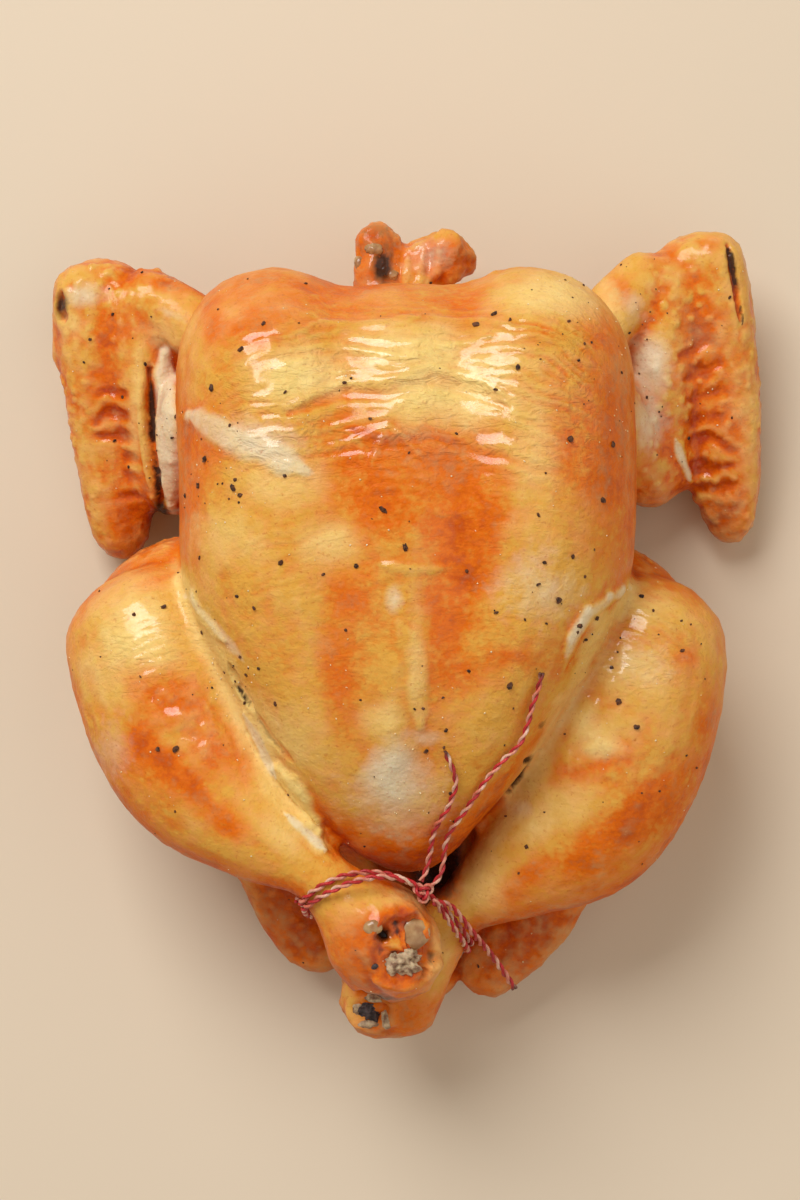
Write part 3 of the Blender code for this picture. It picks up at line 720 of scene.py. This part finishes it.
relief = add(tree, "ShaderNodeBump", None, {"Height": height, "Strength": 0.7, "Distance": 0.0006})
tree.links.new(relief.outputs[0], shader.inputs["Normal"])
skin.data.materials.clear()
skin.data.materials.append(roast)
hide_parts("chicken")
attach(skin, "root")

# ---- Bone ends and gristle ----
# The drumsticks end in a knuckle, its gristle and a scorched stump of bone, set in the open
# cuffs of skin. The neck ends in cut bones with a crisp collar. All of it is fast in the meat.
ground_tree = BVHTree.FromObject(skin, bpy.context.evaluated_depsgraph_get())


def seen_at(x, y):
    """The spot on the skin in millimetres that is seen there from above, and its normal, or None."""
    hit, normal = ground_tree.ray_cast(Vector((x * MM, y * MM, 0.3)), Vector((0, 0, -1)))[:2]
    return (hit / MM, normal) if hit else None


def lump(bm, centre, halves, crumple, size=3.0, detail=4):
    """Adds a crumpled ball of meat, bone or gristle, in millimetres."""
    made = bmesh.ops.create_icosphere(bm, subdivisions=detail, radius=1.0)
    points = np.array([vert.co for vert in made["verts"]])
    waves = layered(points * halves + centre, size, 3, seed=81)
    points = centre + points * halves * (1 + crumple * waves[:, None])
    for vert, point in zip(made["verts"], points * MM):
        vert.co = point


def finished(name, bm, material):
    """A piece from the built mesh, fixed to the object and given its finish."""
    mesh = bpy.data.meshes.new(name)
    bm.to_mesh(mesh)
    bm.free()
    mesh.polygons.foreach_set("use_smooth", [True] * len(mesh.polygons))
    mesh.materials.append(material)
    piece = new_piece(name, mesh)
    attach(piece, "root")
    return piece


def plain_food(name, light, dark, size_mm, roughness, coat, depth_mm=0.5):
    """A speckled material of two tones, with a relief of its own."""
    material, tree, shader = finish_of(name)
    spots = ramp(tree, speckle(tree, size_mm, 4), -0.14, 0.14)
    tree.links.new(blend(tree, spots, colour(dark), colour(light)), shader.inputs["Base Color"])
    shader.inputs["Roughness"].default_value = roughness
    shader.inputs["IOR"].default_value = 1.45
    shader.inputs["Coat Weight"].default_value = coat
    shader.inputs["Coat Roughness"].default_value = 0.15
    shader.inputs["Subsurface Weight"].default_value = 0.1
    shader.inputs["Subsurface Scale"].default_value = 0.002
    rough = {"Height": speckle(tree, size_mm, 4), "Strength": 0.7, "Distance": depth_mm * MM}
    tree.links.new(add(tree, "ShaderNodeBump", None, rough).outputs[0], shader.inputs["Normal"])
    return material


def set_in(bm, x, y, halves, proud, crumple, size=2.0, detail=4):
    """Adds a lump that stands proud of the skin by so many millimetres."""
    lump(bm, (x, y, seen_at(x, y)[0].z + proud - halves[2]), halves, crumple, size, detail)


# Gristle: smooth, grey-beige and half clear, where the knuckle shows.
bm = bmesh.new()
set_in(bm, 0.4, -84.0, (5.6, 4.6, 2.0), 1.1, 0.06, 3.0)
set_in(bm, -9.8, -81.6, (2.6, 2.2, 1.4), 0.5, 0.15)
set_in(bm, -9.9, 109.6, (3.0, 1.7, 1.6), 0.9, 0.25)
set_in(bm, -14.2, 105.8, (1.5, 2.2, 1.4), 0.5, 0.25)
set_in(bm, -4.6, 102.2, (1.8, 1.6, 1.4), 0.6, 0.25)
gristle = plain_food("grey_beige_gristle", "B89464", "97693F", 3.0, 0.4, 0.7, 0.15)
finished("gristle", bm, gristle)

# Bone: chalky, grey-white and pitted by the heat.
bm = bmesh.new()
set_in(bm, -3.4, -91.4, (6.6, 4.2, 2.6), 2.0, 0.5, 2.0, 5)
set_in(bm, -14.8, -108.4, (1.7, 3.6, 1.8), 1.0, 0.35, 1.8)
set_in(bm, -11.6, -113.2, (3.6, 1.4, 1.8), 1.0, 0.35, 1.8)
set_in(bm, -6.2, -111.2, (1.5, 3.0, 1.8), 1.0, 0.35, 1.8)
set_in(bm, -8.8, -105.4, (3.8, 1.3, 1.8), 1.0, 0.35, 1.8)
bone = plain_food("heat_pitted_bone", "CDB591", "806049", 1.5, 0.8, 0.05, 0.7)
finished("bone_ends", bm, bone)

# Marrow and scorched bone: dark, in the middle of each stump.
bm = bmesh.new()
set_in(bm, -10.6, -109.4, (4.0, 3.0, 2.0), 1.3, 0.5, 1.7, 5)
set_in(bm, -6.8, -84.1, (1.7, 1.6, 1.2), 0.5, 0.3, 1.5)
set_in(bm, -9.4, -92.6, (1.0, 0.8, 0.8), 0.6, 0.4, 1.5)
marrow = plain_food("scorched_marrow", "544848", "1E1315", 1.6, 0.75, 0.1, 0.6)
finished("scorched_marrow", bm, marrow)

# ---- Pepper and salt ----
# Coarse black pepper and fine salt were rubbed on before roasting, and lie stuck in the fat.
# The pepper has cracked into angular flakes. Both gather in the clefts beside the wings and legs.
big_flakes = [
    (-39, 82), (23, 85), (18, 82), (43, 83), (-45, 75), (-53, 65), (-55, 46), (-47, 38), (-45, 36), (-57, 39),
    (-7, 32), (-1, 22), (-34, 18), (-14, 17), (55, 50), (52, 35), (58, 70), (36, 18), (43, 51), (23, 64),
    (29, 70), (-46, 9), (-36, -20), (10, -27), (16, -11), (27, -15), (40, 8), (65, 9), (68, 5), (51, 3),
    (46, 1), (76, -6), (58, -20), (63, -27), (-76, 4), (-68, 6), (-57, -1), (-69, -33), (-64, -33), (33, -61),
]  # fmt: skip
clusters = [
    (-73, 58, 9), (60, 62, 12), (-47, -14, 5), (46, -3, 6),
    (-4, -38, 11), (66, 84, 7), (-50, 40, 8), (40, 92, 9),
]  # fmt: skip


def scattered(rng, count):
    """Places seen from above, some evenly spread over the bird and some gathered in clusters."""
    places = []
    while len(places) < count:
        if rng.random() < 0.35:
            middle_x, middle_y, reach = clusters[rng.integers(len(clusters))]
            place_x, place_y = rng.normal((middle_x, middle_y), reach)
        else:
            place_x, place_y = rng.uniform((-98, -105), (98, 108))
        found = seen_at(place_x, place_y)
        if found and found[1].z > 0.25:
            places.append(found)
    return places


def grain_on(bm, spot, normal, size, flat, detail, rng):
    """Adds one angular grain, sunk by a third into the fat."""
    made = bmesh.ops.create_icosphere(bm, subdivisions=detail, radius=0.5 * size)
    turn = Vector((0, 0, 1)).rotation_difference(normal).to_matrix()
    spin = Matrix.Rotation(rng.uniform(0, 6.28), 3, "Z") @ Matrix.Rotation(rng.normal(0, 0.35), 3, "X")
    stretch = rng.uniform(0.7, 1.35)
    for vert in made["verts"]:
        point = vert.co * (1 + rng.normal(0, 0.16))
        point = Vector((point.x * stretch, point.y / stretch, point.z * flat))
        vert.co = (turn @ (spin @ point) + spot + normal * size * flat * 0.18) * MM


rng = np.random.default_rng(19)
bm = bmesh.new()
for place_x, place_y in big_flakes:
    spot, normal = seen_at(place_x, place_y)
    grain_on(bm, spot, normal, rng.uniform(0.9, 1.9), 0.6, 2, rng)
for spot, normal in scattered(rng, 210):
    grain_on(bm, spot, normal, 0.4 + 0.9 * rng.random() ** 2, 0.65, 1, rng)
pepper = plain_food("cracked_black_pepper", "6A3F22", "22120A", 1.2, 0.75, 0.05, 0.15)
finished("pepper_flakes", bm, pepper).data.shade_flat()

bm = bmesh.new()
for spot, normal in scattered(rng, 320):
    grain_on(bm, spot, normal, rng.uniform(0.25, 0.6), 0.8, 1, rng)
salt = plain_food("salt_grains", "F6E3BC", "E8C583", 1.0, 0.3, 1.0, 0.05)
finished("salt_grains", bm, salt)

# ---- Twine ----
# Butcher's twine of one red and one white cotton ply, twisted together and soaked with fat.
# It goes twice round both ankles, is knotted above them, and its three ends were left long.
# Its places are given in the part's own millimetres, and FRAME_SHIFT takes them to the frame.
TWINE, CLEARANCE, LAY = 2.1, 0.35, 6.6
FRAME_SHIFT = np.array((-2.38, 8.0, -2.5))
knot_seat = Vector((8, -79, 70)) + Vector(FRAME_SHIFT)


def smooth_line(points, count):
    """Count rows read evenly from a Catmull-Rom curve through the given points."""
    points = np.asarray(points, float)
    points = np.concatenate([[2 * points[0] - points[1]], points, [2 * points[-1] - points[-2]]])
    fine = []
    for p0, p1, p2, p3 in zip(points, points[1:], points[2:], points[3:]):
        for t in np.linspace(0, 1, 24, endpoint=False):
            bend = 2 * p0 - 5 * p1 + 4 * p2 - p3
            twist = 3 * p1 - p0 - 3 * p2 + p3
            fine.append(p1 + 0.5 * ((p2 - p0) * t + bend * t**2 + twist * t**3))
    fine = np.array(fine + [points[-2]])
    along = np.concatenate([[0], np.cumsum(np.linalg.norm(np.diff(fine, axis=0), axis=1))])
    wanted = np.linspace(0, along[-1], count)
    return np.stack([np.interp(wanted, along, column) for column in fine.T], axis=1)


def keep_off(point, distance):
    """The point, moved out until it is the given distance off the skin, in millimetres."""
    nearest, normal, _, gap = ground_tree.find_nearest(point * MM)
    offset = point * MM - nearest
    outside = offset.dot(normal) > 0
    if outside and gap >= distance * MM:
        return point
    way = offset.normalized() if outside and gap > 0.0002 else normal
    return nearest / MM + way * distance


def pulled_tight(route, count=84, rounds=170):
    """A closed line of points, drawn tight round the skin as twine is."""
    points = [Vector(row) for row in smooth_line(route + route[:1], count + 1)[:-1]]
    for _ in range(rounds):
        before, after = points[-1:] + points[:-1], points[1:] + points[:1]
        points = [p + 0.4 * ((a + b) / 2 - p) for p, a, b in zip(points, before, after)]
        points = [keep_off(p, 0.9) for p in points]
    return points


def laid_down(route, count):
    """An open line of points that falls on the skin from above and rests there."""
    distance = TWINE / 2 + CLEARANCE
    points = []
    for row in smooth_line(route, count):
        under = seen_at(row[0], row[1])
        low = under[0].z + distance if under else 0.0
        points.append(Vector((row[0], row[1], max(row[2], low))))
    for _ in range(30):
        heights = [p.z + 0.3 * ((a.z + b.z) / 2 - p.z) for a, p, b in zip(points, points[1:], points[2:])]
        points[1:-1] = [Vector((p.x, p.y, height)) for p, height in zip(points[1:-1], heights)]
        points[1:] = [keep_off(p, distance) for p in points[1:]]
    return points


def plied_twine(name, points, thick, material, end_darkening=0.0):
    """A length of two-ply twine along the points, in millimetres."""
    line = smooth_line([tuple(p) for p in points], max(24, int(len(points) * 5)))
    steps = np.linalg.norm(np.diff(line, axis=0), axis=1)
    along = np.concatenate([[0], np.cumsum(steps)])
    ways = np.gradient(line, axis=0)
    ways /= np.linalg.norm(ways, axis=1)[:, None]
    side = np.cross(ways[0], (0.3, 0.2, 0.9))
    sides = []
    for way in ways:
        side = side - way * (side @ way)
        side /= np.linalg.norm(side)
        sides.append(side)
    sides = np.array(sides)
    others = np.cross(ways, sides)
    spokes, fibre_pitch, darkened_length = 10, 1.1, 2.5
    verts, faces, ply_of, fibre_of, end_of = [], [], [], [], []
    for ply in (0, 1):
        angle = 2 * math.pi * along / LAY + math.pi * ply
        middle = line + 0.27 * thick * (np.cos(angle)[:, None] * sides + np.sin(angle)[:, None] * others)
        base = len(verts)
        for row in range(len(line)):
            loose = 1 + 0.1 * noise.noise(Vector(middle[row]) * 1.3)
            for spoke in range(spokes):
                turn = 2 * math.pi * spoke / spokes
                reach = 0.285 * thick * loose
                way = math.cos(turn) * sides[row] + math.sin(turn) * others[row]
                verts.append(middle[row] + reach * way)
                ply_of.append(ply)
                fibre_of.append(5 * turn + 2 * math.pi * along[row] / fibre_pitch)
                end_of.append(max(0.0, 1 - (along[-1] - along[row]) / darkened_length) * end_darkening)
        for row in range(len(line) - 1):
            for spoke in range(spokes):
                a, b = base + row * spokes + spoke, base + row * spokes + (spoke + 1) % spokes
                faces.append((a, b, b + spokes, a + spokes))
        faces.append(tuple(base + spoke for spoke in reversed(range(spokes))))
        faces.append(tuple(base + (len(line) - 1) * spokes + spoke for spoke in range(spokes)))
    mesh = bpy.data.meshes.new(name)
    mesh.from_pydata([tuple(v * MM) for v in verts], [], faces)
    for label, values in (("ply", ply_of), ("fibre", fibre_of), ("cut_end", end_of)):
        layer = mesh.attributes.new(label, "FLOAT", "POINT")
        layer.data.foreach_set("value", np.array(values, np.float32))
    mesh.polygons.foreach_set("use_smooth", [True] * len(mesh.polygons))
    mesh.materials.append(material)
    piece = new_piece(name, mesh)
    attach(piece, "root")
    return piece


cotton, tree, shader = finish_of("red_and_white_cotton")
stain = speckle(tree, 6, 3)
red = blend(tree, ramp(tree, stain, -0.15, 0.2), colour("CC1F26"), colour("9C1A1E"))
white = blend(tree, ramp(tree, stain, -0.2, 0.12), colour("EDCDB4"), colour("CF6A52"))
tone = blend(tree, level(tree, "ply"), red, white)
# Darker towards each cut end of the twine.
tone = blend(tree, level(tree, "cut_end"), tone, colour("5A2E1E"))
tree.links.new(tone, shader.inputs["Base Color"])
shader.inputs["Roughness"].default_value = 0.6
shader.inputs["Coat Weight"].default_value = 0.25
shader.inputs["Coat Roughness"].default_value = 0.3
fibres = add(tree, "ShaderNodeMath", {"operation": "SINE"}, {0: level(tree, "fibre")}).outputs[0]
relief = add(tree, "ShaderNodeBump", None, {"Height": fibres, "Strength": 0.5, "Distance": 0.0001})
tree.links.new(relief.outputs[0], shader.inputs["Normal"])

round_both_ankles = [
    (-30, -84, 66), (-24, -76, 84), (-12, -70, 82), (3, -74, 76), (12, -84, 66),
    (18, -94, 58), (23, -101, 44), (12, -98, 33), (-6, -92, 36), (-22, -88, 48),
]  # fmt: skip
second_turn = [
    (-29, -88, 66), (-22.5, -81, 84), (-11, -75, 84), (3, -75.5, 77), (10.8, -85, 67),
    (16.5, -95.5, 58), (21.5, -102, 44), (11, -99, 33), (-6, -94, 36), (-21, -91, 48),
]  # fmt: skip


def to_frame(route):
    return [tuple(np.array(point) + FRAME_SHIFT) for point in route]


first = pulled_tight(to_frame(round_both_ankles))
start = min(range(len(first)), key=lambda k: (first[k] - knot_seat).length)
first = first[start:] + first[: start + 1]
middle = first[0] + Vector((0, 0, 1.5 * TWINE + 2 * CLEARANCE))
loop = plied_twine("twine_loop_two_ply", first, 0.82 * TWINE, cotton)
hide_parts("twine_loop")
second = pulled_tight(to_frame(second_turn), rounds=60)
start = min(range(len(second)), key=lambda k: (second[k] - middle).length)
second = [keep_off(p, 1.2) for p in second[start:] + second[: start + 1]]
plied_twine("twine_second_turn", second, 0.8 * TWINE, cotton)
stub = [keep_off(Vector(place), 1.0) for place in ((-30, -73, 68), (-27.5, -75.5, 66), (-25.5, -79, 64))]
plied_twine("twine_stub", stub, 0.8 * TWINE, cotton, end_darkening=0.3)

# The knot is a trefoil drawn tight, on top of the first turn.
tight = []
for turn in np.linspace(0, 2 * math.pi, 26):
    round_x, round_y = math.sin(turn) + 2 * math.sin(2 * turn), math.cos(turn) - 2 * math.cos(2 * turn)
    tight.append(middle + Vector((0.78 * round_x, 0.78 * round_y, -0.9 * math.sin(3 * turn))))
knot = plied_twine("twine_knot_two_ply", tight, 0.8 * TWINE, cotton)
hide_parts("twine_knot")

x, y, z = middle - Vector(FRAME_SHIFT)
tails = {
    "twine_tail_long": [
        (x + 1.8, y + 1.3, z), (x + 5, y + 5.5, z - 0.5), (13, -64.5, 76), (16.6, -58.6, 76),
        (21.5, -50.8, 76), (26.4, -44.4, 76), (32.4, -38.2, 76), (35.5, -28.4, 76), (37.9, -19.5, 76),
    ],
    "twine_tail_short": [
        (x - 0.6, y + 3.0, z), (x + 1.2, y + 7.5, z), (9.3, -63, 76), (13.2, -56, 76), (15, -48.6, 76),
        (12.2, -40.8, 76),
    ],
    "twine_tail_low": [
        (x + 2.9, y - 2.9, z - 0.6), (14.4, -86, 64), (20.8, -94.6, 55), (26, -101.6, 45), (30, -107.5, 40),
        (33.2, -112.7, 36),
    ],
}  # fmt: skip
for name, route in tails.items():
    points = laid_down(to_frame(route), 34)
    thick = 0.86 if name == "twine_tail_low" else 0.72
    tail = plied_twine(name + "_two_ply", points, thick * TWINE, cotton, end_darkening=1.0)
    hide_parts(name)

# ---- Light and table ----
# A plain pale table in a pale room. The light is one soft window, beyond the neck and to the
# left, and two wide dim walls that throw it back.
table_mesh = bpy.data.meshes.new("table")
bm = bmesh.new()
bmesh.ops.create_grid(bm, x_segments=1, y_segments=1, size=12)
bm.to_mesh(table_mesh)
bm.free()
table = new_piece("table", table_mesh)
pale, _, shader = finish_of("pale_table")
shader.inputs["Base Color"].default_value = colour("DDCDB6")
shader.inputs["Roughness"].default_value = 0.7
table.data.materials.append(pale)


def lamp(name, place, aim, size, watts, tint):
    """A soft square lamp at place that faces aim."""
    light = bpy.data.lights.new(name, "AREA")
    light.size = size
    light.energy = watts
    light.color = colour(tint)[:3]
    obj = bpy.data.objects.new(name, light)
    obj.location = place
    obj.rotation_euler = (Vector(aim) - Vector(place)).to_track_quat("-Z", "Y").to_euler()
    bpy.context.scene.collection.objects.link(obj)


lamp("window", (-0.76, 1.37, 1.67), (0, 0, 0.04), 1.3, 46, "FFFFFF")
lamp("far_wall", (2.38, -0.6, 2.2), (0, 0, 0.04), 5.6, 61, "FFF8F0")
lamp("near_wall", (-1.9, -1.9, 2.2), (0, 0, 0.04), 5.2, 31, "FFF8F0")
world = bpy.data.worlds.new("room")
bpy.context.scene.world = world
world.use_nodes = True
world.node_tree.nodes["Background"].inputs["Color"].default_value = colour("FFE9CC")
world.node_tree.nodes["Background"].inputs["Strength"].default_value = 0.16
bpy.context.scene.view_settings.view_transform = "Standard"
